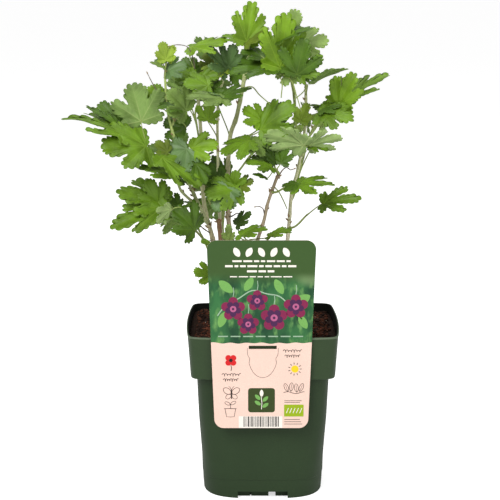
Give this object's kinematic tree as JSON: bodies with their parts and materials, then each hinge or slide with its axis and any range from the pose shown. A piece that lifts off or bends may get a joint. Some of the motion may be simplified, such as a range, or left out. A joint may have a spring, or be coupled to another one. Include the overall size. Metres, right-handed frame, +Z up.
{
  "type": "potted gooseberry bush",
  "caption": "Young gooseberry bush: a clump of thin stems with loose lobed leaves, in a square collared nursery pot of soil with a hanging label card.",
  "frame": {"origin": "middle of the pot's flat underside", "axes": "+Z up; -Y towards the side of the pot that the label hangs on; +X to the right when facing the label"},
  "size_m": [0.2742, 0.1475, 0.421],
  "materials": {
    "pot_plastic": "matt dark green moulded plastic",
    "peat": "moist crumbly peat",
    "label_card": "printed satin card",
    "old_bark": "dull tan bark",
    "young_bark": "smooth pale green bark",
    "leaf": "soft satin leaf"
  },
  "bodies": {
    "root": {"bough_left": "young_bark", "bough_left_low": "young_bark", "bough_right": "young_bark", "label": "label_card", "leaves_back_left": "leaf", "leaves_back_left_high": "leaf", "leaves_back_left_low": "leaf", "leaves_back_low": "leaf", "leaves_back_middle": "leaf", "leaves_back_right": "leaf", "leaves_back_right_far": "leaf", "leaves_back_right_top": "leaf", "leaves_back_top": "leaf", "leaves_centre": "leaf", "leaves_centre_low": "leaf", "leaves_centre_right": "leaf", "leaves_far_left": "leaf", "leaves_left_band": "leaf", "leaves_left_high": "leaf", "leaves_left_low": "leaf", "leaves_left_mid": "leaf", "leaves_low_left": "leaf", "leaves_low_middle": "leaf", "leaves_right_far": "leaf", "leaves_right_high": "leaf", "leaves_right_low": "leaf", "leaves_right_mid": "leaf", "leaves_top": "leaf", "leaves_top_inner": "leaf", "leaves_top_left": "leaf", "leaves_top_right": "leaf", "leaves_upper_left": "leaf", "pot": "pot_plastic", "soil": "peat", "stem_inner": "old_bark", "stem_left": "old_bark", "stem_main": "old_bark", "stem_right": "old_bark", "stem_right_inner": "old_bark", "stem_stub": "old_bark"}
  },
  "joints": []
}
